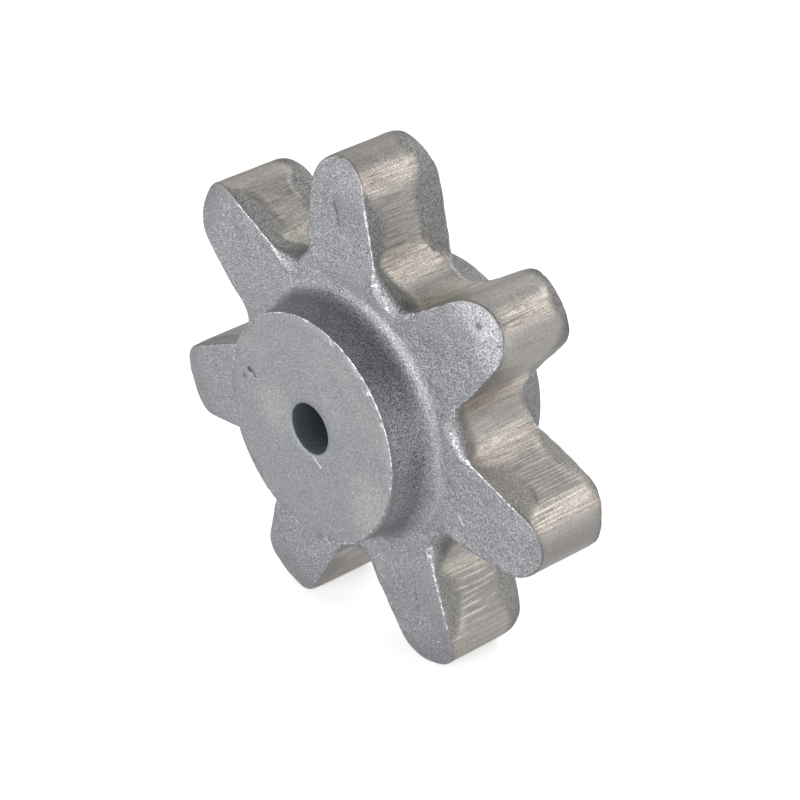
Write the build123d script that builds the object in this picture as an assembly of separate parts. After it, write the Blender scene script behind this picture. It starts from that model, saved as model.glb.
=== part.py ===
from build123d import *
from math import asin, atan2, cos, hypot, pi, radians, sin, sqrt, tan
import os

# A cast sprocket for steel pintle chain: thick round-tipped teeth, equal hubs both sides, a pilot bore.
# The bore runs along Y, the middle of the toothed plate is at y = 0, and one tooth points up along +Z.
# All sizes are in millimetres.

# The chain it takes
chain_pitch = 42.3
barrel_d = 18.3

# Teeth, with the machined band in the middle of their width
tooth_count = 7
seat_clearance = 0.3
tip_height = 17.36
crown_r = 9.8
plate_w = 23.5
band_margin = 0.81

# How far the cast face lies inside the machined band
crown_draft = 0.22
tip_draft = 0.32
seat_draft = 0.42
root_drop = 1.74

# Curved relief of the tooth faces towards the tips, which guides the chain on
relief_reach = 10.1
relief_drop = 2.34

# Hubs and bore
hub_inset = 9.9
hub_h = 12.0
hub_draft = 3.0
hub_base_fillet = 3.8
bore_d = 13.0

# Broken edges
outline_break = 0.6
hub_break = 0.45

# Worked out from the sizes above
half_step = pi / tooth_count
pitch_r = chain_pitch / 2 / sin(half_step)
seat_r = barrel_d / 2 + seat_clearance
root_r = pitch_r - seat_r
tip_r = pitch_r + tip_height
hub_r = root_r - hub_inset
half_plate = plate_w / 2
half_band = half_plate - relief_drop - outline_break - band_margin
hub_top = half_plate + hub_h


def turned(x, y, angle):
    """A point turned clockwise about the bore, seen from the front."""
    return (x * cos(angle) + y * sin(angle), y * cos(angle) - x * sin(angle))


def flank_ends(crown, crown_centre, seat, seat_centre):
    """Where the straight flank leaves the crown arc and meets the seat arc, on a tooth pointing up."""
    sx, sy = seat_centre * sin(half_step), seat_centre * cos(half_step)
    dx, dy = sx, crown_centre - sy
    flank = atan2(dx, dy) - asin((crown + seat) / hypot(dx, dy))
    nx, ny = cos(flank), sin(flank)
    return (crown * nx, crown_centre + crown * ny), (sx - seat * nx, sy - seat * ny)


def outline(crown, crown_centre, seat, seat_centre):
    """The toothed outline: for each tooth a crown arc, two tangent flanks and the seat arc beside it."""
    (ax, ay), (bx, by) = flank_ends(crown, crown_centre, seat, seat_centre)
    tip, floor = crown_centre + crown, seat_centre - seat
    edges = []
    for i in range(tooth_count):
        here = 2 * half_step * i
        there = here + 2 * half_step
        left, top, right = (turned(x, y, here) for x, y in ((-ax, ay), (0, tip), (ax, ay)))
        foot, bottom = turned(bx, by, here), turned(0, floor, here + half_step)
        next_foot, next_left = turned(-bx, by, there), turned(-ax, ay, there)
        edges.append(ThreePointArc(left, top, right))
        edges.append(Line(right, foot))
        edges.append(ThreePointArc(foot, bottom, next_foot))
        edges.append(Line(next_foot, next_left))
    return make_face(edges)


def toothed_plate():
    """The machined band in the middle, and a drafted cast zone lofted from it to each face."""
    crown_centre = tip_r - crown_r
    face_crown = crown_r - crown_draft
    band = outline(crown_r, crown_centre, seat_r, pitch_r)
    face = outline(face_crown, tip_r - tip_draft - face_crown, seat_r - seat_draft, pitch_r - root_drop)
    solid = extrude(Plane.XZ * band, amount=half_band, both=True)
    for side in (-1, 1):
        solid += loft([Plane.XZ.offset(side * half_band) * band, Plane.XZ.offset(side * half_plate) * face], ruled=True)
    return solid


def relief_disc():
    """A disc whose rim curves back on both faces, used to trim the tooth faces near their tips."""
    start = tip_r - relief_reach
    arc_r = (relief_reach**2 + relief_drop**2) / (2 * relief_drop)
    outer = tip_r + relief_drop

    def face_y(r):
        return half_plate - arc_r + sqrt(arc_r**2 - (r - start) ** 2)

    middle = (start + outer) / 2
    half = [
        Line((0, 0), (outer, 0)),
        Line((outer, 0), (outer, face_y(outer))),
        ThreePointArc((outer, face_y(outer)), (middle, face_y(middle)), (start, half_plate)),
        Line((start, half_plate), (0, half_plate)),
        Line((0, half_plate), (0, 0)),
    ]
    disc = revolve(make_face(half), Axis.Y)
    return disc + mirror(disc, Plane.XZ)


def hub():
    """The hub on the +Y side: a broken outer edge, a drafted wall and a concave fillet at its base."""
    lean = radians(hub_draft)
    wall_end = (hub_r + hub_break * tan(lean), hub_top - hub_break)
    fillet_y = half_plate + hub_base_fillet
    fillet_x = hub_r + (hub_top - fillet_y) * tan(lean) + hub_base_fillet / cos(lean)

    def on_fillet(angle):
        return (fillet_x - hub_base_fillet * cos(angle), fillet_y - hub_base_fillet * sin(angle))

    half = [
        Line((0, 0), (fillet_x, 0)),
        Line((fillet_x, 0), (fillet_x, half_plate)),
        ThreePointArc((fillet_x, half_plate), on_fillet((lean + pi / 2) / 2), on_fillet(lean)),
        Line(on_fillet(lean), wall_end),
        Line(wall_end, (hub_r - hub_break, hub_top)),
        Line((hub_r - hub_break, hub_top), (0, hub_top)),
        Line((0, hub_top), (0, 0)),
    ]
    return revolve(make_face(half), Axis.Y)


def sprocket():
    """The whole casting, with its bore."""
    body = toothed_plate() & relief_disc()
    rim = body.edges().filter_by(lambda e: min(abs(v.Y) for v in e.vertices()) > half_band)
    body = chamfer(rim.filter_by(lambda e: abs((e @ 0).Y - (e @ 1).Y) < relief_drop), outline_break)
    body = body + hub() + mirror(hub(), Plane.XZ)
    return body - Rot(90, 0, 0) * Cylinder(bore_d / 2, 2 * hub_top)


os.makedirs("parts", exist_ok=True)
casting = sprocket()
casting.label = "sprocket"
export_step(casting, "parts/sprocket.step")
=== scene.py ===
"""A cast chain sprocket: its worn cast surface, its machined teeth and the studio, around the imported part."""

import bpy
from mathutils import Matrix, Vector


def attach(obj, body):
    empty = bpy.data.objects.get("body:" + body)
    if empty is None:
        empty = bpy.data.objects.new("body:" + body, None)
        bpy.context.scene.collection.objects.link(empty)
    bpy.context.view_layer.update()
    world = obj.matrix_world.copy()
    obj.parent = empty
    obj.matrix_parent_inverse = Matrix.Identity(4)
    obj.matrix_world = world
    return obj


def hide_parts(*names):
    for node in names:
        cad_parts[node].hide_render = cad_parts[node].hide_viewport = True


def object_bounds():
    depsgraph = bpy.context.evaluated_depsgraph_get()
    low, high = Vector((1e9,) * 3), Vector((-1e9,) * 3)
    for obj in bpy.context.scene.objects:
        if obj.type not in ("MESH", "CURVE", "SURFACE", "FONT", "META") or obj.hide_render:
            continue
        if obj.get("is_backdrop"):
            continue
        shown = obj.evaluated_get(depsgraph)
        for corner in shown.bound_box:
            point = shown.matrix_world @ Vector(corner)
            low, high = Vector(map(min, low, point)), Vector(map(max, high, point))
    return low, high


bl_info = {
    "name": "Cast Chain Sprocket",
    "version": (1, 0, 0),
    "blender": (4, 5, 0),
    "location": "View3D > Sidebar > Sprocket",
    "description": "Builds the casting, its cast and machined finishes and a plain studio",
    "category": "Object",
}

from math import asin, atan2, cos, hypot, pi, radians, sin, sqrt, tan

import bpy
import numpy as np
from bpy.props import FloatProperty, FloatVectorProperty, IntProperty, PointerProperty
from mathutils import Matrix

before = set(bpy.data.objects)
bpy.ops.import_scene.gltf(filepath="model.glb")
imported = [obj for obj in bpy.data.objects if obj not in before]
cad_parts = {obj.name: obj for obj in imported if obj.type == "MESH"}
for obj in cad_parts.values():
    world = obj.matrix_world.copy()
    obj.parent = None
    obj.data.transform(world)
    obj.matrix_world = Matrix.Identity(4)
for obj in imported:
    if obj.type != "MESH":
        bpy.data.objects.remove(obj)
CAD_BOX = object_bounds()
MM = 0.001
NODE = "sprocket"


def length(name, millimetres, description):
    """A length setting, from millimetres."""
    default = millimetres * MM
    return FloatProperty(name=name, description=description, default=default, unit="LENGTH", precision=5)


def colour(name, default, description):
    """A linear colour setting."""
    return FloatVectorProperty(
        name=name, description=description, default=default, subtype="COLOR", size=3, min=0, max=1
    )


def angle(name, degrees, description):
    """An angle setting."""
    return FloatProperty(name=name, description=description, default=radians(degrees), subtype="ANGLE")


def number(name, default, description, low=0.0, high=1000.0):
    """A plain number setting."""
    return FloatProperty(name=name, description=description, default=default, min=low, max=high)


class SprocketShape(bpy.types.PropertyGroup):
    """Sizes of the casting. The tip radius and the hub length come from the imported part."""

    tooth_count: IntProperty(name="Teeth", description="Number of teeth", default=7, min=5, max=30)
    tip_radius: length("Tip radius", CAD_BOX[1].z / MM, "Bore centre to the tooth tips")
    hub_end: length("Hub end", CAD_BOX[1].y / MM, "Middle of the plate to a hub face")
    pitch_radius: length("Pitch radius", 48.745, "Bore centre to the barrels' centres")
    seat_radius: length("Seat radius", 9.45, "Arc that seats a chain barrel")
    crown_radius: length("Crown radius", 9.8, "Round of a tooth tip")
    plate_half: length("Half plate", 11.75, "Half the width of the toothed plate")
    crown_draft: length("Crown draft", 0.22, "How much smaller the crown is at the cast face")
    tip_draft: length("Tip draft", 0.32, "How much lower the tip is at the cast face")
    seat_draft: length("Seat draft", 0.10, "How much smaller the seat is at the cast face")
    relief_reach: length("Relief reach", 10.1, "Width of the curved relief on the tooth faces")
    relief_drop: length("Relief drop", 2.34, "How far the tooth faces fall back at the tips")
    hub_radius: length("Hub radius", 29.39, "Hub at its face")
    hub_draft: angle("Hub draft", 3.0, "Lean of the hub wall")
    base_fillet: length("Base fillet", 3.8, "Concave round between hub and plate")
    bore_radius: length("Bore radius", 6.5, "Pilot bore")
    bore_break: length("Bore break", 0.25, "Broken edge of the bore")
    hub_break: length("Hub break", 0.32, "Rounded edge of the hub face")
    tooth_edge: length("Tooth edge", 0.45, "Rounded edge of a tooth face")
    root_edge: length("Root edge", 3.9, "Softer edge below a tooth gap, across the face")
    root_edge_depth: length("Root edge depth", 2.7, "The same edge, along the bore")
    band_step: number("Band step", 0.3, "Share of the draft that is a step at the band")
    wave_height: length("Unevenness", 0.07, "Long waves of the cast skin")
    ripple_height: length("Ripple", 0.035, "Short waves of the cast skin")
    chip_depth: length("Chips", 0.30, "Deepest small chips along the edges")


class SprocketFinish(bpy.types.PropertyGroup):
    """Colours and textures of the cast, machined and turned metal."""

    cast_colour: colour("Cast skin", (0.259, 0.262, 0.277), "Shot-blasted iron")
    flank_colour: colour("Raw flank", (0.250, 0.252, 0.247), "Cast metal beside the machined band")
    soft_colour: colour("Soft flank", (0.312, 0.296, 0.274), "The same where it is smoother and browner")
    # This bright colour is also painted highlight: it is laid on most where the shoulders and seats catch the
    # light
    machined_and_highlight_colour: colour("Machined band", (0.630, 0.580, 0.520), "Metal where the cutter bit")
    smooth_colour: colour("Smooth band", (0.306, 0.295, 0.288), "Metal where the cutter only skimmed")
    turned_colour: colour("Turned face", (0.272, 0.275, 0.290), "Hub faces")
    warm_colour: colour("Warm patch", (0.385, 0.378, 0.358), "Hub faces where turned lines still show")
    # Also painted into the glints and into the painted highlight along the edges
    bright_colour: colour("Bright metal", (0.74, 0.74, 0.76), "Metal rubbed bright along the edges")
    rust_colour: colour("Pit stain", (0.105, 0.080, 0.074), "Brown stain in a pit")
    bore_colour: colour("Bore", (0.147, 0.175, 0.186), "Dark drilled bore")
    grain_size: length("Grain", 0.36, "Size of the blasted grain")
    sand_size: length("Coarse grain", 0.45, "The same on raw flanks and hub faces")
    line_pitch: length("Tool line pitch", 0.50, "Spacing of the cutter lines on the flanks")


class SprocketStudio(bpy.types.PropertyGroup):
    """Camera, lamps and floor."""

    camera_azimuth: angle("Azimuth", 49.83, "Camera's turn round the part")
    camera_elevation: angle("Elevation", 28.44, "Camera's height angle")
    camera_roll: angle("Roll", -2.56, "Camera's tilt about its own axis")
    camera_distance: length("Distance", 815.8, "Camera to the bore's centre")
    lens: number("Lens", 152.63, "Focal length in millimetres")
    shift_x: number("Shift X", 0.0187, "Sideways framing", -1, 1)
    shift_y: number("Shift Y", -0.0066, "Upward framing", -1, 1)
    front_power: number("Front", 15.4, "Power of the low front softbox")
    rear_power: number("Rear", 7.5, "Power of the wide rear softbox")
    side_power: number("Side", 3.3, "Power of the right-hand softbox")
    left_power: number("Left", 0.45, "Power of the small rear left softbox")
    fill_power: number("Fill", 0.7, "Power of the high softbox on the left")
    world_strength: number("World", 0.39, "Even light from all round")
    floor_white: number("Floor", 0.55, "White added for the camera", 0, 1)
    floor_gloss: number("Floor in gloss", 0.41, "Share of plain white that the metal mirrors", 0, 1)


def polar(radius, turn):
    """Points on a circle about the bore, as X and Z, clockwise from straight up."""
    return np.stack([radius * np.sin(turn), radius * np.cos(turn)], -1)


def lift(flat, y):
    """Flat X and Z points at height y along the bore."""
    return np.stack([flat[..., 0], np.broadcast_to(y, flat.shape[:-1]), flat[..., 1]], -1)


def half_tooth(t, crown, crown_centre, seat, seat_centre, half_step):
    """Half of an upright tooth's outline and its outward normals.

    The parameter runs 0 to 1 along the crown arc, 1 to 2 down the straight flank that is tangent to
    both arcs, and 2 to 3 along the seat arc to the middle of the gap.
    """
    sx, sy = seat_centre * sin(half_step), seat_centre * cos(half_step)
    dx, dy = sx, crown_centre - sy
    lean = atan2(dx, dy) - asin((crown + seat) / hypot(dx, dy))
    shoulder = np.array([crown * cos(lean), crown_centre + crown * sin(lean)])
    foot = np.array([sx - seat * cos(lean), sy - seat * sin(lean)])
    on_crown = pi / 2 + (lean - pi / 2) * np.clip(t, 0, 1)
    on_seat = lean + (pi / 2 - half_step - lean) * np.clip(t - 2, 0, 1)
    crown_point = np.stack([crown * np.cos(on_crown), crown_centre + crown * np.sin(on_crown)], -1)
    flank_point = shoulder + (foot - shoulder) * np.clip(t - 1, 0, 1)[:, None]
    seat_point = np.stack([sx - seat * np.cos(on_seat), sy - seat * np.sin(on_seat)], -1)
    point = np.where((t < 1)[:, None], crown_point, np.where((t < 2)[:, None], flank_point, seat_point))
    facing = np.where(t < 1, on_crown, np.where(t < 2, lean, on_seat))
    return point, np.stack([np.cos(facing), np.sin(facing)], -1)


def whole_outline(count, station, side, turn, crown, crown_centre, seat, seat_centre):
    """The toothed outline from half a tooth, mirrored to either side and turned to each tooth's place."""
    point, normal = half_tooth(station, crown, crown_centre, seat, seat_centre, pi / count)
    turned = []
    for v in (point, normal):
        across = v[:, 0] * side
        x = across * np.cos(turn) + v[:, 1] * np.sin(turn)
        z = v[:, 1] * np.cos(turn) - across * np.sin(turn)
        turned.append(np.stack([x, z], -1))
    return turned


def waves(points, wavelength, seed, count=26):
    """Smooth noise of unit height: plane sine waves in random directions, near one wavelength."""
    rng = np.random.default_rng(seed)
    direction = rng.normal(size=(count, 3))
    direction /= np.linalg.norm(direction, axis=1)[:, None]
    frequency = 2 * pi / (wavelength * rng.uniform(0.7, 1.4, count))
    phase = rng.uniform(0, 2 * pi, count)
    total = np.zeros(points.shape[:-1])
    for d, f, p in zip(direction, frequency, phase):
        total += np.sin(points @ (d * f) + p)
    return total / sqrt(count / 2)


def ease(x, low, high):
    """Smooth step from 0 at low to 1 at high."""
    s = np.clip((x - low) / (high - low), 0, 1)
    return s * s * (3 - 2 * s)


def window(x, rise, full, fade, end):
    """Smooth rise from 0 to 1 between the first two values and fall back to 0 between the last two."""
    return ease(x, rise, full) * (1 - ease(x, fade, end))


def stops(end, count, start=0.0):
    """Even steps from start to end, without the start."""
    return np.linspace(start, end, count + 1)[1:]


# The grid: samples round it, and rings in each zone
SAMPLES_AROUND = 14 * 50
MOUTH_RINGS, FACE_RINGS, HUB_EDGE_RINGS, WALL_RINGS, FILLET_RINGS = 3, 11, 4, 6, 8
PLATE_RINGS, RIM_EDGE_RINGS, RAW_RINGS, BAND_RINGS, BORE_RINGS = 18, 6, 6, 5, 5

# Zones from the bore outwards, and how much of the unevenness and of the edge chips each one takes
MOUTH, FACE, HUB_EDGE, HUB_SIDE, PLATE, PLATE_EDGE, RAW_SIDE, BAND = range(8)
UNEVEN = np.array([0.0, 0.12, 0.5, 1.0, 1.0, 1.0, 1.0, 0.25])
CHIPPED = np.array([0.0, 0.0, 0.7, 0.0, 0.0, 1.0, 0.0, 0.0])
CAST, TURNED, DRILLED = range(3)

# Wavelengths: the skin's long and short waves, its chips, the ragged edge and the band's drift
SKIN_WAVE, SKIN_RIPPLE, CHIP_WAVE = 17 * MM, 6 * MM, 3.4 * MM
RAGGED_WAVE, LONG_DRIFT, SHORT_DRIFT = 7 * MM, 28 * MM, 8 * MM
SKIN_SEED, RAGGED_SEED, LONG_SEED, SHORT_SEED = 5, 11, 21, 31

# Stations along half a tooth, from the tip to the middle of the gap, and the share of the half at each
STATIONS = (0.0, 1.0, 2.0, 3.0)
HALF_TOOTH_SHARES = (0.0, 0.31, 0.62, 1.0)

# Stations between which a finish comes in, and goes out again
CROWN_SPAN, CROWNWARD_SPAN = (0.12, 0.38), (0.8, 1.1)
SHOULDER_SPAN, SKIM_SPAN = (0.40, 0.52, 0.9, 1.2), (0.62, 0.98, 1.1, 1.7)
FLANK_SPAN, CALM_SPAN = (1.1, 1.5, 1.95, 2.1), (1.7, 2.0)
DIM_ROOT_SPAN, ROOTWARD_SPAN = (1.85, 2.1), (1.9, 2.8)
SEAT_SPAN = (1.9, 2.05, 2.25, 2.6)

# Turns round the hub where its edge is worn, where its side gets painted light, and where the ridge at its foot
# gets a painted highlight
WORN_TURN, PALE_TURN, RIDGE_TURN = (1.4, 1.9, 2.3, 2.8), (0.8, 1.6, 2.1, 2.6), (0.1, 0.5, 1.6, 2.2)
# How coarse the grain of each hub's side is: front, then rear
SANDY_HUB = {-1: 0.12, 1: 0.8}

# X plus Z over which the plate gets grittier, and over which the brightest tooth tip gets a painted highlight
GRITTY_SPAN, PALE_TIP_SPAN = (-45 * MM, 60 * MM), (70 * MM, 86 * MM)

# Width of the plate's last ring before the edge, which takes worn metal with painted highlight
RUBBED_AND_HIGHLIGHT_WIDTH = 0.5 * MM
# Height where the draft begins, the band's least reach, its clearance to the edge and its step's height
BAND_END, LEAST_REACH, BAND_CLEARANCE, BAND_STEP = 8.0 * MM, 3.5 * MM, 0.06 * MM, 0.02 * MM
# Raw width under which the band runs out over the edge, and how far
RAW_SPAN, OVERRUN = (0.2 * MM, 1.2 * MM), 0.8 * MM

# Reach of the machined band along half a tooth, in millimetres from the plate's middle: front, then rear
BAND_STATIONS = (0.0, 0.8, 1.0, 1.2, 1.5, 1.8, 1.98, 2.15, 2.4, 3.0)
BAND_REACH = {
    -1: (11.4, 11.2, 9.4, 6.8, 5.2, 5.6, 9.0, 8.6, 6.8, 6.0),
    1: (5.9, 5.9, 5.7, 5.3, 4.9, 5.2, 6.8, 7.8, 8.6, 8.8),
}
# How much further it reaches on each half tooth, clockwise from the upright tooth's right half
REACH_OF_HALF = {
    -1: (1.0, 0.5, 0.0, -0.7, 0.0, 0.3, -0.4, 1.5, -0.3, 0.4, 0.0, -0.8, -1.0, -2.4),
    1: (-0.9, 1.2, 1.8, 2.5, 2.0, 1.0, 0.5, 0.3, 0.0, 0.3, 0.5, 0.3, 0.0, -0.9),
}
# How much less it reaches below the front of each shoulder, where the cutter skimmed over the cast metal
SKIM_OF_HALF = (0.6, 0.5, 0.0, 4.2, 0.0, 1.0, *[0.0] * 6, 1.6, 0.0)

# How bright the band is along half a tooth, from the cut and from painted highlight on the shoulder and the
# seat, and how plainly its lines show
CUT_STATIONS = (0.0, 0.28, 0.44, 0.54, 0.84, 1.0, 1.4, 1.8, 1.88, 1.98, 2.45, 2.8, 3.0)
CUT_AND_HIGHLIGHT_STRENGTH = (0.06, 0.16, 0.35, 1.0, 0.95, 0.25, 0.16, 0.25, 0.60, 1.0, 0.92, 0.4, 0.20)
LINE_STRENGTH = (0.04, 0.06, 0.15, 0.85, 0.85, 0.9, 0.8, 0.9, 1.0, 0.9, 0.9, 0.6, 0.4)

# How bright the cut and its painted highlight are at the shoulder and the flank of each half tooth, and how
# much painted highlight its seat gets
SHOULDER_OF_HALF = (1.0, 0.3, 0.1, 1.0, 0.6, 0.2, 0.6, 0.8, 0.5, 0.7, 0.6, 0.5, 0.5, 0.7)
FLANK_OF_HALF = (*[0.0] * 12, 0.45, 0.0)
SEAT_OF_HALF = (1.0, *[0.0] * 13)

# How bright the cut and its painted highlight are at each gap and each crown, and how much painted shade
# darkens the crown's edge
ROOT_OF_GAP = (1.0, 0.88, 0.25, 0.4, 0.3, 0.4, 0.6)
CROWN_OF_TOOTH = (0.32, 0.74, 0.05, 0.15, 0.3, 0.5, 0.24)
CROWN_EDGE_OF_TOOTH = (0.0, 0.85, 0.85, 0.35, 0.1, 0.1, 0.0)

# How gritty the raw side of each half tooth is, and how much worn metal with painted highlight its edge gets
GRIT_OF_HALF = (1.0, 0.5, 0.4, 0.2, 0.4, 0.55, 0.3, 0.1, 0.4, 0.4, 0.6, 0.6, 1.0, 0.8)
RUBBED_AND_HIGHLIGHT_OF_HALF = (0.95, 0.85, 0.85, 1.0, 0.8, 0.88, 0.6, 0.15, 0.6, 0.8, 0.8, 0.8, 0.90, 0.7)

# How much of the lines is coarse chatter, and how wide the lines are, on each tooth
CHATTER_OF_TOOTH = (0.10, 0.20, 0.95, 1.0, 0.4, 0.3, 0.10)
LINE_WIDTH_OF_TOOTH = (0.62, 0.75, 1.0, 1.75, 1.2, 1.0, 0.62)

# Dents: place X, Y, Z, radius and depth, all in millimetres
DENTS = (
    (-1.3, -11.7, 54.0, 0.9, 0.30),
    (-0.7, -11.7, 52.4, 0.9, 0.34),
    (-0.2, -11.7, 49.8, 0.9, 0.28),
    (46.6, -11.2, 39.5, 1.2, 0.45),
    (52.6, -10.2, 35.9, 0.9, 0.45),
    (22.1, -11.7, -42.0, 1.3, 0.22),
    (22.6, -11.7, -45.0, 1.2, 0.20),
    (-22.2, -23.7, 7.5, 1.1, 0.22),
    (-20.6, -23.7, 7.3, 0.9, 0.15),
)


class SkinRings:
    """Rings of the casting from one bore mouth to the middle of the band, each with its masks."""

    # Besides the band and the grain, the masks carry worn metal with painted highlight, painted shade and
    # painted light
    MASKS = {"wear": 0.0, "band": -20.0 * MM, "hollow": 0.0, "sandy": 0.0, "gritty": 0.0, "pale": 0.0}

    def __init__(self, shape, side):
        self.shape, self.side = shape, side
        self.rings, self.zone = [], []
        self.masks = {name: [] for name in self.MASKS}
        self.share = np.arange(SAMPLES_AROUND) / SAMPLES_AROUND
        self.turn = 2 * pi * self.share
        tooth = np.floor(self.share * shape.tooth_count + 0.5)
        offset = self.share * shape.tooth_count - tooth
        self.station = np.interp(np.abs(offset) * 2, HALF_TOOTH_SHARES, STATIONS)
        self.crownward = 1 - ease(self.station, *CROWNWARD_SPAN)
        self.rootward = ease(self.station, *ROOTWARD_SPAN)
        self.outlines(np.where(offset < 0, -1.0, 1.0), tooth * 2 * pi / shape.tooth_count)
        self.finishes()
        self.edges()
        self.hub()
        self.plate()
        self.rim()

    def by_tooth(self, values, shift=0.0):
        """A value round the outline from one for each tooth, by straight lines between them."""
        count = len(values)
        place = (self.share - shift / count) * count
        return np.interp(place, range(count + 1), (*values, values[0]), period=count)

    def by_part(self, values):
        """The same from one for each half tooth or gap, whose middle lies half a step on."""
        return self.by_tooth(values, 0.5)

    def circle(self, radius):
        """A ring about the bore."""
        return polar(radius, self.turn)

    def face_height(self, flat):
        """Height of the tooth face: flat, then a circular arc falling back over the relief's reach."""
        s = self.shape
        start = s.tip_radius - s.relief_reach
        arc = (s.relief_reach**2 + s.relief_drop**2) / (2 * s.relief_drop)
        beyond = np.clip(np.hypot(flat[..., 0], flat[..., 1]) - start, 0, None)
        return s.plate_half - arc + np.sqrt(arc**2 - beyond**2)

    def outlines(self, across, turn):
        """The machined band's outline, and the cast face's one, which is smaller by the draft."""
        s = self.shape
        place = (s.tooth_count, self.station, across, turn)
        self.middle, self.normal = whole_outline(
            *place, s.crown_radius, s.tip_radius - s.crown_radius, s.seat_radius, s.pitch_radius
        )
        crown = s.crown_radius - s.crown_draft
        outer, _ = whole_outline(
            *place, crown, s.tip_radius - s.tip_draft - crown, s.seat_radius - s.seat_draft, s.pitch_radius
        )
        run = self.face_height(outer) - BAND_END
        share = np.clip(run / (s.plate_half - BAND_END), 0, 1)[:, None]
        self.outer = self.middle + (outer - self.middle) * share

    def finishes(self):
        """How bright each place is from the cutter and from painted highlight, how plainly lined, where painted
        highlight and painted shade fall, and how gritty it is and how worn and highlighted its edge.
        """
        station = self.station
        dull = window(station, *SHOULDER_SPAN) * (1 - self.by_part(SHOULDER_OF_HALF))
        dim_root = ease(station, *DIM_ROOT_SPAN) * (1 - self.by_part(ROOT_OF_GAP))
        crown = (1 - ease(station, *CROWN_SPAN)) * self.by_tooth(CROWN_OF_TOOTH)
        flank = window(station, *FLANK_SPAN) * self.by_part(FLANK_OF_HALF)
        # Partly painted highlight: brightest at the shoulder and the seat of some halves, where the light falls
        cut = np.interp(station, CUT_STATIONS, CUT_AND_HIGHLIGHT_STRENGTH) * (1 - 0.75 * dull) * (1 - 0.8 * dim_root)
        self.cut = np.maximum(np.maximum(cut, crown), flank)
        lines = np.interp(station, CUT_STATIONS, LINE_STRENGTH) * (1 - 0.9 * dull)
        self.lines = np.maximum(lines, ease(crown, 0.35, 0.8)) * (1 - 0.6 * dim_root)
        self.chatter = self.by_tooth(CHATTER_OF_TOOTH) * (1 - 0.8 * ease(station, *CALM_SPAN))
        self.line_width = self.by_tooth(LINE_WIDTH_OF_TOOTH)
        # Painted highlight on the seat of some halves
        self.bright_seat = window(station, *SEAT_SPAN) * self.by_part(SEAT_OF_HALF)
        # Painted shade along the crown's edge of some teeth
        self.crown_edge_shade = self.by_tooth(CROWN_EDGE_OF_TOOTH) * self.crownward
        self.rubbed_and_highlight = self.by_part(RUBBED_AND_HIGHLIGHT_OF_HALF)
        self.grit = self.by_part(GRIT_OF_HALF)

    def edges(self):
        """Width and depth of the rounded outline edge, and how far the machined band reaches towards it."""
        s, side = self.shape, self.side
        ragged = 1 + 0.18 * waves(lift(self.outer, side * s.plate_half), RAGGED_WAVE, RAGGED_SEED + side)
        ragged = np.clip(ragged, 0.7, 1.3 - 0.2 * self.rootward)
        self.edge = (s.tooth_edge + (s.root_edge - s.tooth_edge) * self.rootward) * ragged
        self.depth = (s.tooth_edge + (s.root_edge_depth - s.tooth_edge) * self.rootward) * ragged
        flank = lift(self.middle, side * 7 * MM)
        drift = 0.8 * waves(flank, LONG_DRIFT, LONG_SEED + side)
        drift = drift + 0.45 * waves(flank, SHORT_DRIFT, SHORT_SEED + side)
        drift += self.by_part(REACH_OF_HALF[side])
        if side < 0:
            drift -= window(self.station, *SKIM_SPAN) * self.by_part(SKIM_OF_HALF)
        reach = (np.interp(self.station, BAND_STATIONS, BAND_REACH[side]) + drift) * MM
        limit = self.face_height(self.outer) - self.depth - BAND_CLEARANCE
        self.band_edge = np.clip(reach, LEAST_REACH, limit)
        self.raw_width = ease(limit - self.band_edge, *RAW_SPAN)
        self.overrun = (1 - self.raw_width) * np.clip(1 - 2 * self.crown_edge_shade, 0, 1) * OVERRUN

    def add(self, flat, height, zone, **masks):
        """Adds one ring, with its zone number and its masks."""
        self.rings.append(lift(flat, self.side * height))
        for name, usual in self.MASKS.items():
            self.masks[name].append(np.broadcast_to(masks.get(name, usual), self.turn.shape))
        self.zone.append(zone)

    def hub(self):
        """Bore mouth, hub face, its rounded edge, the drafted wall and the concave fillet at its base."""
        s = self.shape
        for a in np.linspace(0, pi / 2, MOUTH_RINGS):
            radius = s.bore_radius + s.bore_break * (1 - cos(a))
            self.add(self.circle(radius), s.hub_end - s.bore_break * (1 - sin(a)), MOUTH)
        worn = window(self.turn, *WORN_TURN) * (self.side < 0)
        rounding = s.hub_break * (1 + 1.9 * worn)
        inner, outer = s.bore_radius + s.bore_break, s.hub_radius - rounding
        # The face near its rim and the rounded edge: worn metal with painted highlight
        for q in stops(1, FACE_RINGS):
            self.add(self.circle(inner + (outer - inner) * q), s.hub_end, FACE, wear=q**24 * 0.6)
        for a in stops(pi / 2, HUB_EDGE_RINGS):
            radius = outer + rounding * sin(a)
            wear = (1.2 - 0.5 * a) * (1 - 0.35 * worn)
            self.add(self.circle(radius), s.hub_end - rounding * (1 - cos(a)), HUB_EDGE, wear=wear)
        fillet_y = s.plate_half + s.base_fillet
        lean = tan(s.hub_draft)
        fillet_x = s.hub_radius + (s.hub_end - fillet_y) * lean + s.base_fillet / cos(s.hub_draft)
        sandy = SANDY_HUB[self.side]
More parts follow.
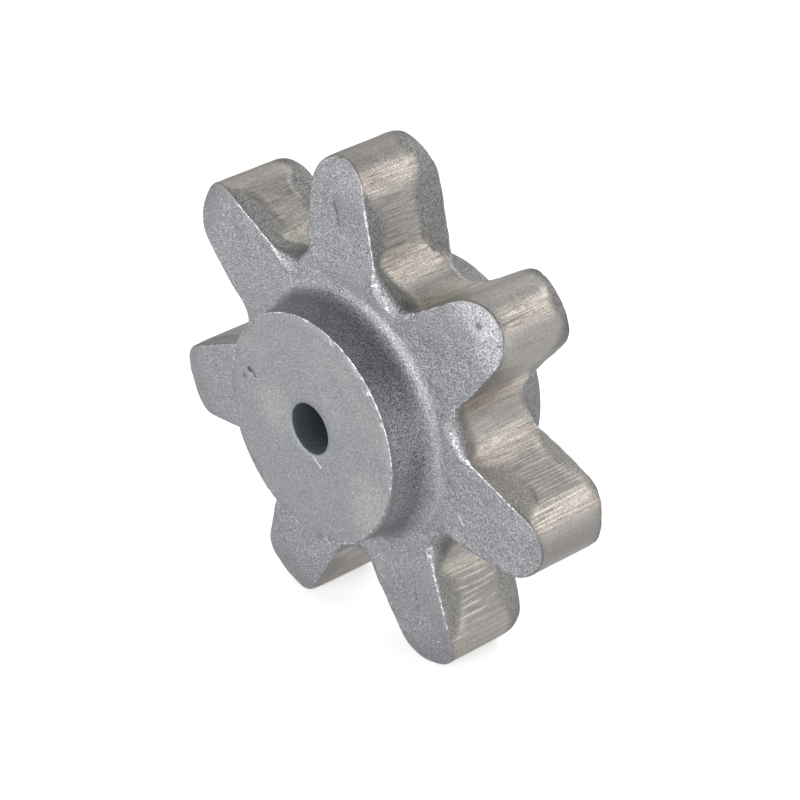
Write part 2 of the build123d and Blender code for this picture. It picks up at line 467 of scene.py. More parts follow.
        # Painted light on the hub's side, and a painted highlight on the ridge at its foot, at some turns
        pale = window(self.turn, *PALE_TURN)
        bright = window(self.turn, *RIDGE_TURN)
        top = s.hub_end - rounding
        low = fillet_y - s.base_fillet * sin(s.hub_draft)
        for q in stops(1, WALL_RINGS):
            height = top + (low - top) * q
            radius = s.hub_radius + (s.hub_end - height) * lean
            self.add(self.circle(radius), height, HUB_SIDE, pale=pale, sandy=sandy, gritty=1.0)
        for a in stops(pi / 2, FILLET_RINGS, s.hub_draft):
            radius = fillet_x - s.base_fillet * cos(a)
            height = fillet_y - s.base_fillet * sin(a)
            early = 1 - ease(a, 0.2, 1.2)
            ridge = np.maximum(pale, 0.7 * bright * ease(a, 0.7, 1.2))
            masks = {"pale": ridge, "sandy": sandy * early, "gritty": 0.4 + 0.6 * early}
            self.add(self.circle(radius), height, HUB_SIDE, **masks)
        self.plate_start = self.circle(fillet_x)

    def plate(self):
        """The cast face, by straight lines from the fillet's circle to the rounded edge of the outline."""
        end = self.outer - self.normal * self.edge[:, None]
        near = end - self.normal * RUBBED_AND_HIGHLIGHT_WIDTH
        flankward = (1 - self.crownward) * self.rubbed_and_highlight
        for q in stops(1, PLATE_RINGS):
            flat = self.plate_start + (near - self.plate_start) * q
            lit = flat[:, 0] + flat[:, 1]
            # Painted highlight on the brightest tooth tip
            tip = ease(lit, *PALE_TIP_SPAN)
            gritty = 0.04 + 0.36 * ease(lit, *GRITTY_SPAN) + 0.30 * tip
            # Worn metal with painted highlight towards the flank edges
            wear = 0.4 * q**16 * flankward
            self.add(flat, self.face_height(flat), PLATE, wear=wear, gritty=gritty, pale=0.35 * tip)
        # The edge ring: more worn metal with painted highlight
        wear = 0.65 * flankward * (1 - 0.2 * self.rootward)
        self.add(end, self.face_height(end), PLATE, wear=wear, gritty=gritty, pale=0.35 * tip)

    def side_point(self, height):
        """A point of the drafted side at one height: between the band's outline and the face's."""
        rim = self.face_height(self.outer)
        start = np.minimum(self.band_edge, BAND_END)
        share = np.clip((height - start) / (rim - start), 0, 1)
        step = self.shape.band_step * (1 - 0.9 * self.crownward)
        share = np.where(height > start, step * (1 - share) + share, 0.0)
        return self.middle + (self.outer - self.middle) * share[:, None]

    def add_side(self, height, zone, inset=0.0, **masks):
        """Adds a ring of the drafted side, set in by a share of its rounded edge."""
        flat = self.side_point(height) - self.normal * (self.edge * inset)[:, None]
        self.add(flat, height, zone, band=self.band_edge - height + self.overrun, **masks)

    def rim(self):
        """Rounded outline edge, drafted raw side, the small step and the machined band.

        The edge is a quarter of an ellipse, from the face to the side. It is small along the teeth and
        large below the gaps.
        """
        rim = self.face_height(self.outer - self.normal * self.edge[:, None])
        # Worn metal with painted highlight along the flank edges, none on the crowns and less below the gaps
        thin = (1 - self.crownward) * (1 - 0.33 * self.rootward) * self.rubbed_and_highlight
        for a in stops(pi / 2, RIM_EDGE_RINGS):
            height = rim - self.depth * (1 - cos(a))
            wear = (1.12 - abs(a - 0.6) * 0.6) * thin
            # Painted shade: darker along some crown edges and, below the gaps, on the outer part of the rounded
            # edge
            hollow = self.crown_edge_shade * sin(a) + 0.45 * self.rootward * ease(a, 1.0, 1.6)
            raw = ease(a, 0.85, 1.55)
            sandy = raw * self.raw_width
            gritty = np.maximum(raw * self.grit, 0.6 * self.rootward)
            self.add_side(height, PLATE_EDGE, 1 - sin(a), wear=wear, hollow=hollow, sandy=sandy, gritty=gritty)
        # The seat keeps its painted highlight on the raw side and the band
        side = {"sandy": 1.0, "gritty": self.grit, "pale": self.bright_seat}
        top, low = rim - self.depth, self.band_edge + BAND_STEP
        for q in stops(1, RAW_RINGS):
            wear = 0.3 * (1 - q) ** 6 * thin
            # Painted shade on the raw side, strongest below the gaps, and at the rear along some crown edges
            hollow = 0.45 * self.rootward * (1 - 0.3 * q) + 0.1 * (1 - self.crownward)
            if self.side > 0:
                hollow = hollow + 0.55 * self.crown_edge_shade
            self.add_side(top + (low - top) * q, RAW_SIDE, wear=wear, hollow=hollow, **side)
        for q in np.linspace(0.06, 1, BAND_RINGS):
            self.add_side(self.band_edge * (1 - q), BAND, **side)


def bore_rings(shape, turn):
    """Rings along the bore, from the rear mouth to the front one, without the mouths themselves."""
    top = shape.hub_end - shape.bore_break
    circle = polar(shape.bore_radius, turn)
    return [lift(circle, y) for y in np.linspace(top, -top, BORE_RINGS + 2)[1:-1]]


def outward(points):
    """Unit normals of a grid that closes in both directions, by crossing its central differences."""
    along = np.roll(points, -1, 0) - np.roll(points, 1, 0)
    around = np.roll(points, -1, 1) - np.roll(points, 1, 1)
    normal = np.cross(around, along)
    return normal / np.maximum(np.linalg.norm(normal, axis=2), 1e-12)[..., None]


def roughen(shape, points, zone):
    """Moves the skin along its normals: long and short waves, edge chips, dents. Cut faces stay truer."""
    normal = outward(points)
    amount, edge = UNEVEN[zone][:, None], CHIPPED[zone][:, None]
    move = waves(points, SKIN_WAVE, SKIN_SEED) * shape.wave_height * amount
    move += waves(points, SKIN_RIPPLE, SKIN_SEED + 1) * shape.ripple_height * amount
    chips = np.clip(waves(points, CHIP_WAVE, SKIN_SEED + 2) - 1.1, 0, 1.4) / 1.4
    move -= chips * shape.chip_depth * edge
    for x, y, z, radius, depth in DENTS:
        away = np.linalg.norm(points - np.array([x, y, z]) * MM, axis=2) / (radius * MM)
        move -= depth * MM * np.exp(-away**2)
    return points + normal * move[..., None]


def fill(block, key, values, kind=np.float32):
    """Writes a whole array into one property of a mesh's elements."""
    block.foreach_set(key, np.asarray(values, kind).ravel())


def new_mesh(name, points, uv, masks, material_of_ring):
    """A closed quad mesh from a grid of rings, with its UV map, vertex masks and material of each ring."""
    rings, around = points.shape[:2]
    v, u = np.meshgrid(np.arange(rings), np.arange(around), indexing="ij")
    v2, u2 = (v + 1) % rings, (u + 1) % around
    quads = np.stack([v * around + u, v * around + u2, v2 * around + u2, v2 * around + u], -1).reshape(-1, 4)
    mesh = bpy.data.meshes.new(name)
    mesh.vertices.add(rings * around)
    fill(mesh.vertices, "co", points)
    mesh.loops.add(quads.size)
    fill(mesh.loops, "vertex_index", quads, np.int32)
    mesh.polygons.add(len(quads))
    fill(mesh.polygons, "loop_start", np.arange(0, quads.size, 4), np.int32)
    fill(mesh.polygons, "material_index", np.repeat(material_of_ring, around), np.int32)
    layer = mesh.uv_layers.new(name="surface")
    path, run = uv
    corner_u = np.stack([path[u], path[u + 1], path[u + 1], path[u]], -1)
    corner_v = np.stack([run[v], run[v], run[v + 1], run[v + 1]], -1)
    fill(layer.uv, "vector", np.stack([corner_u, corner_v], -1))
    for key, values in masks.items():
        fill(mesh.attributes.new(key, "FLOAT", "POINT").data, "value", values)
    mesh.update(calc_edges=True)
    mesh.validate()
    mesh.shade_smooth()
    return mesh


def casting_mesh(shape):
    """The whole skin as one closed grid: front half, rear half reversed, then the bore.

    The UV map runs along the outline, shorter where the lines are wider, and along the bore.
    """
    front, rear = SkinRings(shape, -1), SkinRings(shape, 1)
    bore = bore_rings(shape, front.turn)
    points = np.stack(front.rings + rear.rings[-2::-1] + bore)
    zone = np.array(front.zone + rear.zone[-2::-1] + [MOUTH] * len(bore))
    masks = {}
    for name, usual in SkinRings.MASKS.items():
        blank = [np.full(len(front.turn), usual)] * len(bore)
        masks[name] = np.stack(front.masks[name] + rear.masks[name][-2::-1] + blank)
    for name in ("cut", "lines", "chatter"):
        masks[name] = np.broadcast_to(getattr(front, name), zone.shape + front.turn.shape)
    points = roughen(shape, points, zone)
    closed = np.concatenate([front.middle, front.middle[:1]])
    spacing = np.linalg.norm(np.diff(closed, axis=0), axis=1) / front.line_width
    path = np.concatenate([[0.0], np.cumsum(spacing)])
    run = np.append(points[:, 0, 1], points[0, 0, 1])
    strip = np.maximum(zone, np.roll(zone, -1))
    material = np.where(strip == MOUTH, DRILLED, np.where(strip == FACE, TURNED, CAST))
    return new_mesh("sprocket_casting", points, (path, run), masks, material)


class Graph:
    """A node tree being wired. An input is named with underscores for spaces, or i and its number."""

    def __init__(self, tree, groups=None):
        self.tree, self.groups = tree, groups

    def node(self, kind, settings=None, **inputs):
        """Adds a node with its settings, its values and its links. Gives its outputs."""
        made = self.tree.nodes.new(kind)
        for key, value in (settings or {}).items():
            setattr(made, key, value)
        for key, value in inputs.items():
            numbered = key[0] == "i" and key[1:].isdigit()
            socket = made.inputs[int(key[1:]) if numbered else key.replace("_", " ")]
            if isinstance(value, bpy.types.NodeSocket):
                self.tree.links.new(value, socket)
            elif socket.type in ("RGBA", "VECTOR"):
                socket.default_value = (*value, 1.0)[: len(socket.default_value)]
            else:
                socket.default_value = value
        return made.outputs

    def math(self, operation, a, b=0.0, clamp=False):
        """A Math node's result."""
        return self.node("ShaderNodeMath", {"operation": operation, "use_clamp": clamp}, i0=a, i1=b)[0]

    def plus(self, a, b):
        return self.math("ADD", a, b)

    def minus(self, a, b):
        return self.math("SUBTRACT", a, b)

    def times(self, a, b):
        return self.math("MULTIPLY", a, b)

    def vector(self, operation, a, out="Vector", **more):
        """A Vector Math node's result."""
        return self.node("ShaderNodeVectorMath", {"operation": operation}, i0=a, **more)[out]

    def parts(self, vector):
        """A vector's X, Y and Z."""
        return self.node("ShaderNodeSeparateXYZ", Vector=vector)

    def xyz(self, x, y=0.0, z=0.0):
        """A vector from X, Y and Z."""
        return self.node("ShaderNodeCombineXYZ", X=x, Y=y, Z=z)[0]

    def step(self, value, low, high):
        """A smooth step of a value from 0 at low to 1 at high."""
        smooth = {"interpolation_type": "SMOOTHSTEP"}
        return self.node("ShaderNodeMapRange", smooth, Value=value, From_Min=low, From_Max=high)["Result"]

    def spread(self, value, low, high):
        """A 0 to 1 value spread from low to high."""
        return self.node("ShaderNodeMapRange", Value=value, To_Min=low, To_Max=high)["Result"]

    def noise(self, vector, scale, detail=2.0, rough=0.5):
        """A Noise Texture's value."""
        return self.node("ShaderNodeTexNoise", Vector=vector, Scale=scale, Detail=detail, Roughness=rough)[0]

    def mix(self, factor, a, b, blend="MIX"):
        """Two colours mixed or blended."""
        return self.node("ShaderNodeMix", {"data_type": "RGBA", "blend_type": blend}, i0=factor, i6=a, i7=b)[2]

    def shade(self, tint, low, high, by):
        """A colour made lighter or darker by a 0 to 1 value spread between two factors."""
        return self.vector("SCALE", tint, Scale=self.spread(by, low, high))

    def attribute(self, name):
        """A vertex mask of the mesh."""
        return self.node("ShaderNodeAttribute", {"attribute_name": name})["Fac"]

    def group(self, name, **inputs):
        """One of the node groups, placed with its own values."""
        return self.node("ShaderNodeGroup", {"node_tree": self.groups[name]}, **inputs)


def new_group(name, inputs, *outputs):
    """A new node group: its tree, its graph and its inputs. An input without a default is a vector."""
    tree = bpy.data.node_groups.new(name, "ShaderNodeTree")
    for title, default in inputs.items():
        kind = "NodeSocketVector" if default is None else "NodeSocketFloat"
        socket = tree.interface.new_socket(name=title, in_out="INPUT", socket_type=kind)
        if default is not None:
            socket.default_value = default
    for title in outputs:
        tree.interface.new_socket(name=title, in_out="OUTPUT", socket_type="NodeSocketFloat")
    g = Graph(tree)
    return tree, g, g.node("NodeGroupInput")


def blasted_grain_group():
    """Shot-blasted grain: fine bright and dark specks, small glints, and the height that goes with them."""
    tree, g, start = new_group("blasted_grain", {"Vector": None, "Size": 0.4 * MM}, "Speck", "Glint", "Height")
    scale = g.math("DIVIDE", 1.0, start["Size"])
    fine = g.noise(start["Vector"], scale, 3.0, 0.62)
    coarse = g.noise(start["Vector"], g.times(scale, 0.38))
    both = g.plus(g.times(fine, 0.86), g.times(coarse, 0.14))
    g.node("NodeGroupOutput", Speck=g.step(both, 0.37, 0.63), Glint=g.step(fine, 0.60, 0.70), Height=both)
    return tree


LINE_LENGTH = 10 * MM
CHATTER_TURN = 2 * pi * 0.435


def cutter_lines_group():
    """Lines left by a cutter: fine ones from drawn-out noise, chatter crests and deep scores.

    The chatter is a sine of the path, its phase pushed by noise, to the fifth power for thin crests.
    """
    inputs = {"Path": None, "Pitch": 0.5 * MM}
    tree, g, start = new_group("cutter_lines", inputs, "Line", "Coarse", "Score", "Height")
    path = g.parts(start["Path"])
    across = g.math("DIVIDE", path["X"], start["Pitch"])
    along = g.math("DIVIDE", path["Y"], LINE_LENGTH)

    def streaks(width, length, level, detail=1.0, rough=0.5):
        """Noise drawn out along the bore, at its own level of the 3-D noise."""
        return g.noise(g.xyz(g.times(across, width), g.times(along, length), level), 1.0, detail, rough)

    fine = streaks(1.0, 1.0, 0.0, 2.0, 0.6)
    push = g.times(streaks(0.16, 0.4, 4.0), 9.0)
    wave = g.math("SINE", g.plus(g.times(across, CHATTER_TURN), push))
    crest = g.math("POWER", g.plus(g.times(wave, 0.5), 0.5), 5.0)
    coarse = g.times(crest, g.step(streaks(0.3, 1.0, 9.0), 0.30, 0.60))
    score = g.step(streaks(0.55, 1.0, 14.0), 0.60, 0.68)
    height = g.plus(g.times(fine, 0.6), g.times(coarse, 0.25))
    g.node("NodeGroupOutput", Line=g.step(fine, 0.36, 0.64), Coarse=coarse, Score=score, Height=height)
    return tree


def rubbed_and_highlight_edge_group():
    """Bright worn metal with painted highlight along an edge: its mask broken up by noise."""
    tree, g, start = new_group("rubbed_edge", {"Vector": None, "Wear": 0.0}, "Mask")
    patch = g.noise(start["Vector"], 600.0, 3.0, 0.6)
    fine = g.noise(start["Vector"], 2300.0, 2.0, 0.6)
    limit = g.plus(g.times(patch, 1.5), g.times(fine, 1.3))
    g.node("NodeGroupOutput", Mask=g.step(g.minus(start["Wear"], limit), -0.65, -0.38))
    return tree


def spot_group():
    """A soft round spot at one place, broken up at its rim."""
    tree, g, start = new_group("round_spot", {"Vector": None, "Centre": None, "Radius": 1 * MM}, "Mask")
    away = g.vector("DISTANCE", start["Vector"], "Value", i1=start["Centre"])
    wobble = g.noise(start["Vector"], 1500.0, 2.0, 0.6)
    share = g.math("DIVIDE", away, start["Radius"])
    g.node("NodeGroupOutput", Mask=g.step(g.plus(share, g.times(wobble, 1.6)), 2.1, 1.1))
    return tree


def scratch_group():
    """A straight scratch between two places: the distance from the line between them, against its width."""
    inputs = {"Vector": None, "Start": None, "End": None, "Width": 0.3 * MM}
    tree, g, start = new_group("scratch", inputs, "Mask")
    line = g.vector("SUBTRACT", start["End"], i1=start["Start"])
    place = g.vector("SUBTRACT", start["Vector"], i1=start["Start"])
    covered, whole = (g.vector("DOT_PRODUCT", v, "Value", i1=line) for v in (place, line))
    run = g.math("DIVIDE", covered, whole, clamp=True)
    away = g.vector("DISTANCE", place, "Value", i1=g.vector("SCALE", line, Scale=run))
    wobble = g.noise(start["Vector"], 2600.0, 2.0, 0.6)
    share = g.math("DIVIDE", away, start["Width"])
    g.node("NodeGroupOutput", Mask=g.step(g.plus(share, g.times(wobble, 1.4)), 1.7, 0.9))
    return tree


def cleared(block, groups=None):
    """The graph of a material's or a world's own nodes, emptied."""
    block.use_nodes = True
    block.node_tree.nodes.clear()
    return Graph(block.node_tree, groups)


def new_material(name, groups):
    """An empty material, its graph and the object's own coordinates."""
    material = bpy.data.materials.new(name)
    g = cleared(material, groups)
    return material, g, g.node("ShaderNodeTexCoord")["Object"]


def metal_shader(g, tint, metallic, rough, height, depth):
    """A material's shader, with a bump of the given depth."""
    bump = g.node("ShaderNodeBump", Strength=1.0, Distance=depth, Height=height)[0]
    metal = g.node("ShaderNodeBsdfPrincipled", Base_Color=tint, Metallic=metallic, Roughness=rough, Normal=bump)
    g.node("ShaderNodeOutputMaterial", Surface=metal[0])


# Inputs of each kind of mark, and the marks: kind, strength, colour, then those inputs in millimetres
MARK_INPUTS = {"spot": ("Centre", "Radius"), "scratch": ("Start", "End", "Width")}
SKIN_MARKS = (
    ("spot", 0.8, "rust", (46.5, -11.3, 39.5), 1.2),
    ("spot", 0.17, "dark", (-0.5, -11.3, 56.0), 12.5),
    ("spot", 0.9, "dark", (52.6, -10.4, 35.9), 0.7),
    ("scratch", 0.52, "dark", (-1.3, -11.7, 54.5), (-0.8, -11.7, 52.1), 0.9),
    ("scratch", 0.60, "dark", (-0.5, -11.7, 50.5), (-0.2, -11.7, 49.3), 0.8),
    ("scratch", 0.7, "pale", (38.3, -11.7, -13.0), (39.9, -11.7, -15.0), 0.24),
    ("scratch", 0.45, "dark", (21.8, -11.7, -41.2), (22.2, -11.7, -43.0), 0.5),
    ("scratch", 0.45, "dark", (22.5, -11.7, -44.4), (22.7, -11.7, -45.8), 0.5),
)
FACE_MARKS = (
    ("spot", 0.85, "dark", (-21.9, -23.75, 7.8), 1.0),
    ("scratch", 0.85, "dark", (-21.2, -23.75, 8.0), (-19.6, -23.75, 6.6), 0.45),
    ("spot", 0.5, "dark", (-24.0, -23.75, 5.5), 0.8),
    ("scratch", 0.5, "pale", (0.8, -23.75, -7.5), (3.4, -23.75, -9.2), 0.45),
)
# Warm patches of the hub face: strength, centre and radius
WARM_PATCHES = ((0.7, (22.2, -23.75, -14.0), 10.0), (0.5, (-13.0, -23.75, 1.0), 7.0))
DARK_MARK = (0.045, 0.048, 0.050)
PALE_MARK = (0.85, 0.85, 0.87)
SHADOW_TINT = (0.135, 0.138, 0.134)


def mark(g, place, kind, sizes):
    """The mask of one spot or scratch, from its sizes in millimetres."""
    values = {key: np.multiply(size, MM).tolist() for key, size in zip(MARK_INPUTS[kind], sizes)}
    return g.group(kind, Vector=place, **values)["Mask"]


def marked(g, place, tint, marks, rust=DARK_MARK):
    """A colour with its spots and scratches laid over it, each in its own colour."""
    colours = {"rust": rust, "dark": DARK_MARK, "pale": PALE_MARK}
    for kind, strength, name, *sizes in marks:
        tint = g.mix(g.times(mark(g, place, kind, sizes), strength), tint, colours[name])
    return tint


def cast_skin_material(finish, groups):
    """Shot-blasted cast iron, with the machined band of the tooth sides and its painted highlight, worn edges
    with painted highlight, painted shade and stains.
    """
    material, g, place = new_material("blasted_cast_iron", groups)
    path = g.node("ShaderNodeUVMap", {"uv_map": "surface"})["UV"]
    grain = g.group("grain", Vector=place, Size=finish.grain_size)
    speck = grain["Speck"]
    sand = g.group("grain", Vector=place, Size=finish.sand_size)["Speck"]
    lines = g.group("lines", Path=path, Pitch=finish.line_pitch)
    rubbed_and_highlight = g.group("rubbed_and_highlight", Vector=place, Wear=g.attribute("wear"))["Mask"]
    mottle = g.noise(place, 75.0, 3.0, 0.55)
    patch = g.noise(place, 230.0, 3.0, 0.6)
    cut, chatter, line_depth = g.attribute("cut"), g.attribute("chatter"), g.attribute("lines")
    gritty, pale = g.attribute("gritty"), g.attribute("pale")

    # The band's border: its distance, made ragged by noise and torn by the grain, softer where not gritty
    ragged = g.times(g.minus(patch, 0.5), 4.0 * MM)
    torn = g.times(g.minus(grain["Height"], 0.5), 3.6 * MM)
    blur = g.plus(1.0, g.times(g.minus(1.0, gritty), 1.5))
    distance = g.math("DIVIDE", g.plus(g.attribute("band"), g.plus(ragged, torn)), blur)
    machined = g.step(distance, -0.9 * MM, 1.1 * MM)

    # The cast skin: blasted face, sandy raw side, and painted shade below the root rims, on the raw sides and
    # along some crown edges
    skin = g.shade(finish.cast_colour, 0.95, 1.05, mottle)
    skin = g.mix(gritty, g.shade(skin, 0.75, 1.19, speck), g.shade(skin, 0.44, 1.72, speck))
    # Painted light and highlight: lighter where the pale mask is set
    skin = g.shade(skin, 1.0, 1.20, pale)
    skin = g.mix(g.times(grain["Glint"], 0.6), skin, finish.bright_colour)
    gritty_raw = g.shade(finish.flank_colour, 0.58, 1.40, sand)
    soft_raw = g.shade(finish.soft_colour, 0.84, 1.16, sand)
    raw = g.shade(g.mix(gritty, soft_raw, gritty_raw), 0.88, 1.20, patch)
    skin = g.mix(g.attribute("sandy"), skin, raw)
    # Painted shade: the shadow tint mixed in where the shade mask is set, broken up by noise
    shadow = g.times(g.attribute("hollow"), g.spread(g.step(patch, 0.40, 0.60), 0.5, 1.4))
    skin = g.mix(shadow, skin, SHADOW_TINT)

    # The cut metal: brighter where the cut mask is strong, which is partly painted highlight, with fine lines,
    # deep scores and coarse chatter
    metal = g.mix(cut, finish.smooth_colour, finish.machined_and_highlight_colour)
    fine_tone = g.mix(lines["Line"], (0.68, 0.67, 0.66), (1.22, 1.22, 1.22))
    coarse_tone = g.mix(lines["Coarse"], (0.86, 0.852, 0.845), (1.66, 1.65, 1.64))
    fine_depth = g.times(line_depth, g.minus(1.0, g.times(chatter, 0.6)))
    metal = g.mix(fine_depth, metal, fine_tone, "MULTIPLY")
    metal = g.mix(g.times(g.times(lines["Score"], cut), 0.9), metal, (0.62, 0.60, 0.58), "MULTIPLY")
    metal = g.mix(g.times(line_depth, chatter), metal, coarse_tone, "MULTIPLY")
    metal = g.mix(cut, g.shade(metal, 0.88, 1.12, speck), g.shade(metal, 0.70, 1.32, speck))
    metal = g.shade(metal, 0.93, 1.07, mottle)
    # Painted highlight on the seat
    metal = g.shade(metal, 1.0, 1.22, pale)

    surface = g.mix(machined, skin, metal)
    # Worn metal with painted highlight along the edges, in the bright colour
    surface = g.mix(g.times(rubbed_and_highlight, 0.85), surface, finish.bright_colour)
    surface = marked(g, place, surface, SKIN_MARKS, finish.rust_colour)
    rough = g.plus(g.spread(machined, 0.38, 0.34), g.times(speck, 0.06))
    rough = g.minus(rough, g.times(rubbed_and_highlight, 0.08))
    skin_height = g.times(g.minus(grain["Height"], 0.5), g.minus(1.0, g.times(machined, 0.7)))
    line_height = g.times(g.times(g.minus(lines["Height"], 0.3), g.times(machined, line_depth)), 0.30)
    height = g.plus(g.plus(skin_height, line_height), g.times(patch, 0.5))
    metal_shader(g, surface, 0.85, rough, height, 0.26 * MM)
    return material


def turned_face_material(finish, groups):
    """The hub face: faint turned rings under a light blasting, with a few warm patches and patches of worn
    metal with painted highlight.
    """
    material, g, place = new_material("turned_hub_face", groups)
    grain = g.group("grain", Vector=place, Size=finish.sand_size)
    rubbed_and_highlight = g.group("rubbed_and_highlight", Vector=place, Wear=g.attribute("wear"))["Mask"]
    parts = g.parts(place)
    radius = g.vector("LENGTH", g.xyz(parts["X"], parts["Z"]), "Value")
    rings = g.noise(g.xyz(g.times(radius, 1500.0)), 1.0, 2.0, 0.6)
    mottle = g.noise(place, 90.0, 3.0, 0.55)
    warm = g.times(g.step(g.noise(place, 45.0), 0.52, 0.76), 0.3)
    for strength, *sizes in WARM_PATCHES:
        warm = g.math("MAXIMUM", warm, g.times(mark(g, place, "spot", sizes), strength))
    tint = g.mix(warm, finish.turned_colour, finish.warm_colour)
    tint = g.shade(tint, 0.94, 1.06, mottle)
    tint = g.shade(tint, 0.84, 1.15, grain["Speck"])
    tint = g.mix(g.spread(warm, 0.30, 1.0), tint, g.shade(tint, 0.66, 1.34, rings))
    tint = g.mix(g.times(grain["Glint"], 0.3), tint, finish.bright_colour)
    # Worn metal with painted highlight near the face's rim
    tint = g.mix(g.times(rubbed_and_highlight, 0.8), tint, finish.bright_colour)
    tint = marked(g, place, tint, FACE_MARKS)
    height = g.plus(g.times(grain["Height"], 0.8), g.times(rings, 0.2))
    metal_shader(g, tint, 0.85, g.spread(grain["Speck"], 0.44, 0.52), height, 0.16 * MM)
    return material


def bore_material(finish, groups):
    """The drilled bore: dark, with drill rings along it."""
    material, g, place = new_material("drilled_bore", groups)
    rings = g.noise(g.xyz(g.times(g.parts(place)["Y"], 900.0)), 1.0, 2.0, 0.6)
    grain = g.group("grain", Vector=place, Size=finish.grain_size)
    tint = g.shade(finish.bore_colour, 0.75, 1.25, rings)
    tint = g.shade(tint, 0.85, 1.15, grain["Speck"])
    height = g.plus(rings, g.times(grain["Height"], 0.4))
    metal_shader(g, tint, 0.5, 0.55, height, 0.1 * MM)
    return material


WHITE = (1.0, 1.0, 1.0)
FLOOR_GREY = (0.86, 0.86, 0.86)


def floor_material(studio):
    """A matt white floor that keeps the shadow, with white added for the camera and mixed in for gloss."""
    material = bpy.data.materials.new("studio_floor")
    g = cleared(material)
    matt = g.node("ShaderNodeBsdfDiffuse", Color=FLOOR_GREY)[0]
    glow = g.node("ShaderNodeEmission", Color=WHITE, Strength=1.0)[0]
    ray = g.node("ShaderNodeLightPath")
    share = g.times(g.math("MAXIMUM", ray["Is Glossy Ray"], ray["Is Transmission Ray"]), studio.floor_gloss)
    mixed = g.node("ShaderNodeMixShader", i0=share, i1=matt, i2=glow)[0]
    white = g.times(ray["Is Camera Ray"], studio.floor_white)
    added = g.node("ShaderNodeEmission", Color=WHITE, Strength=white)[0]
    whole = g.node("ShaderNodeAddShader", i0=mixed, i1=added)[0]
    g.node("ShaderNodeOutputMaterial", Surface=whole)
    return material


def placed(scene, name, data, matrix=Matrix()):
    """A new object in the scene, at its place."""
    made = bpy.data.objects.new(name, data)
    made.matrix_world = matrix
    scene.collection.objects.link(made)
    return made


class SPROCKET_OT_casting(bpy.types.Operator):
    """Builds the sprocket's whole skin and gives it its cast, turned and drilled finishes"""

    bl_idname = "sprocket.casting"
    bl_label = "Casting"

    def execute(self, context):
        scene = context.scene
        groups = {
            "grain": blasted_grain_group(),
            "lines": cutter_lines_group(),
            "rubbed_and_highlight": rubbed_and_highlight_edge_group(),
            "spot": spot_group(),
            "scratch": scratch_group(),
        }
        mesh = casting_mesh(scene.sprocket_shape)
        for make in (cast_skin_material, turned_face_material, bore_material):
            mesh.materials.append(make(scene.sprocket_finish, groups))
        casting = placed(scene, "sprocket_casting", mesh)
        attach(casting, "root")
        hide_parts(NODE)
        return {"FINISHED"}


# Softboxes: name, angle round the part and above it in degrees, width and height in metres
SOFTBOXES = (
    ("front", -5, 6, 0.85, 0.36),
    ("rear", 174, 30.5, 1.65, 0.62),
    ("side", 98, 7, 0.7, 0.4),
    ("left", 225, 30, 0.6, 0.6),
    ("fill", -80, 58, 0.8, 0.5),
)
LAMP_DISTANCE = 1.2
FLOOR_HALF = 8.0
CLIP_START, CLIP_END = 0.01, 50.0


def facing_part(azimuth, elevation, distance, roll=0.0):
    """The matrix of a thing that faces the bore's centre from an angle round it and an angle above it."""
    back = np.array([sin(azimuth) * cos(elevation), -cos(azimuth) * cos(elevation), sin(elevation)])
    right = np.array([cos(azimuth), sin(azimuth), 0.0])
    up = np.cross(back, right)
    right, up = cos(roll) * right + sin(roll) * up, cos(roll) * up - sin(roll) * right
    rows = np.stack([right, up, back, back * distance], 1).tolist()
    return Matrix([*rows, [0, 0, 0, 1]])


def softbox(scene, name, azimuth, elevation, width, height, power):
    """A rectangular area lamp that faces the part and isn't seen itself."""
    data = bpy.data.lights.new(name, "AREA")
    data.shape, data.size, data.size_y, data.energy = "RECTANGLE", width, height, power
    lamp = placed(scene, name, data, facing_part(radians(azimuth), radians(elevation), LAMP_DISTANCE))
    lamp.visible_camera = False


def studio_camera(scene, studio):
    """The camera at the photograph's angle."""
    data = bpy.data.cameras.new("photo_camera")
    data.lens = studio.lens
    data.shift_x, data.shift_y = studio.shift_x, studio.shift_y
    data.clip_start, data.clip_end = CLIP_START, CLIP_END
    angles = studio.camera_azimuth, studio.camera_elevation
    place = facing_part(*angles, studio.camera_distance, studio.camera_roll)
    scene.camera = placed(scene, "photo_camera", data, place)


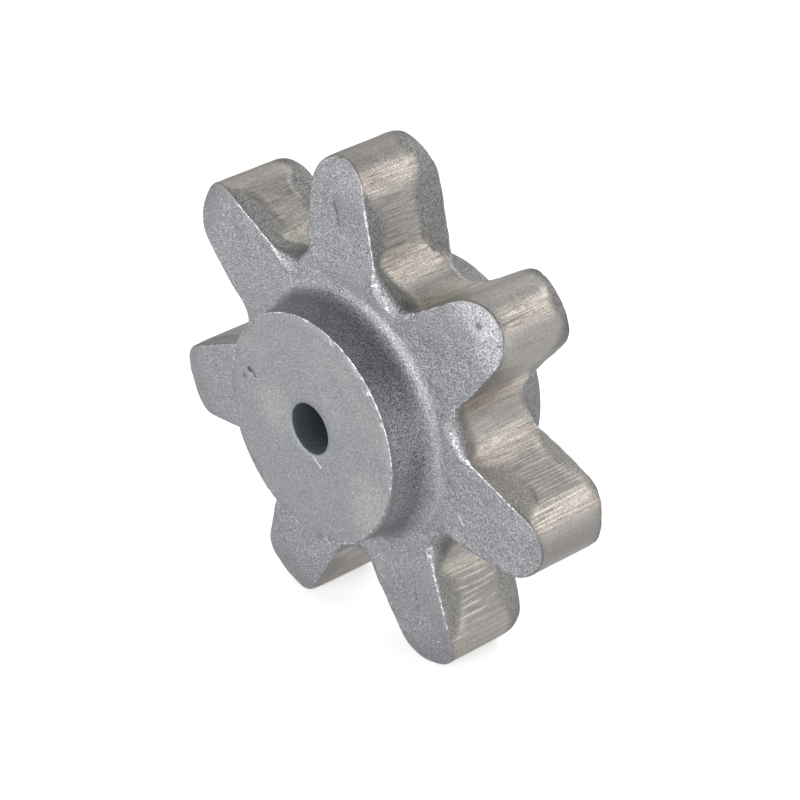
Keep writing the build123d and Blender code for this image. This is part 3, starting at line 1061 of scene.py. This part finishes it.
def studio_world(studio):
    """Even light from all round, which the camera sees as plain white."""
    world = bpy.data.worlds.new("studio_world")
    g = cleared(world)
    seen = g.node("ShaderNodeLightPath")["Is Camera Ray"]
    even = g.node("ShaderNodeBackground", Color=WHITE, Strength=studio.world_strength)[0]
    white = g.node("ShaderNodeBackground", Color=WHITE, Strength=1.0)[0]
    shown = g.node("ShaderNodeMixShader", i0=seen, i1=even, i2=white)[0]
    g.node("ShaderNodeOutputWorld", Surface=shown)
    return world


class SPROCKET_OT_studio(bpy.types.Operator):
    """Lays the floor, hangs the softboxes, lights the world and sets the camera"""

    bl_idname = "sprocket.studio"
    bl_label = "Studio"

    def execute(self, context):
        scene = context.scene
        studio = scene.sprocket_studio
        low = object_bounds()[0].z
        corners = [(x * FLOOR_HALF, y * FLOOR_HALF, low) for x, y in ((-1, -1), (1, -1), (1, 1), (-1, 1))]
        mesh = bpy.data.meshes.new("floor")
        mesh.from_pydata(corners, [], [(0, 1, 2, 3)])
        mesh.materials.append(floor_material(studio))
        placed(scene, "floor", mesh)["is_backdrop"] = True
        for name, *place in SOFTBOXES:
            softbox(scene, f"{name}_softbox", *place, getattr(studio, f"{name}_power"))
        scene.world = studio_world(studio)
        scene.view_settings.view_transform = "Standard"
        studio_camera(scene, studio)
        return {"FINISHED"}


class SPROCKET_PT_panel(bpy.types.Panel):
    """Lists the sprocket's builders"""

    bl_idname = "SPROCKET_PT_panel"
    bl_label = "Sprocket"
    bl_space_type = "VIEW_3D"
    bl_region_type = "UI"
    bl_category = "Sprocket"

    def draw(self, context):
        for operator in OPERATORS:
            self.layout.operator(operator.bl_idname)
        for name, group in SETTINGS.items():
            box = self.layout.box()
            for key in group.__annotations__:
                box.prop(getattr(context.scene, name), key)


OPERATORS = (SPROCKET_OT_casting, SPROCKET_OT_studio)
SETTINGS = {
    "sprocket_shape": SprocketShape,
    "sprocket_finish": SprocketFinish,
    "sprocket_studio": SprocketStudio,
}
CLASSES = (*SETTINGS.values(), *OPERATORS, SPROCKET_PT_panel)


def register():
    for cls in CLASSES:
        bpy.utils.register_class(cls)
    for name, group in SETTINGS.items():
        setattr(bpy.types.Scene, name, PointerProperty(type=group))


def unregister():
    for name in SETTINGS:
        delattr(bpy.types.Scene, name)
    for cls in reversed(CLASSES):
        bpy.utils.unregister_class(cls)


def main():
    """Builds everything in order."""
    register()
    bpy.ops.sprocket.casting()
    bpy.ops.sprocket.studio()


if __name__ == "__main__":
    main()
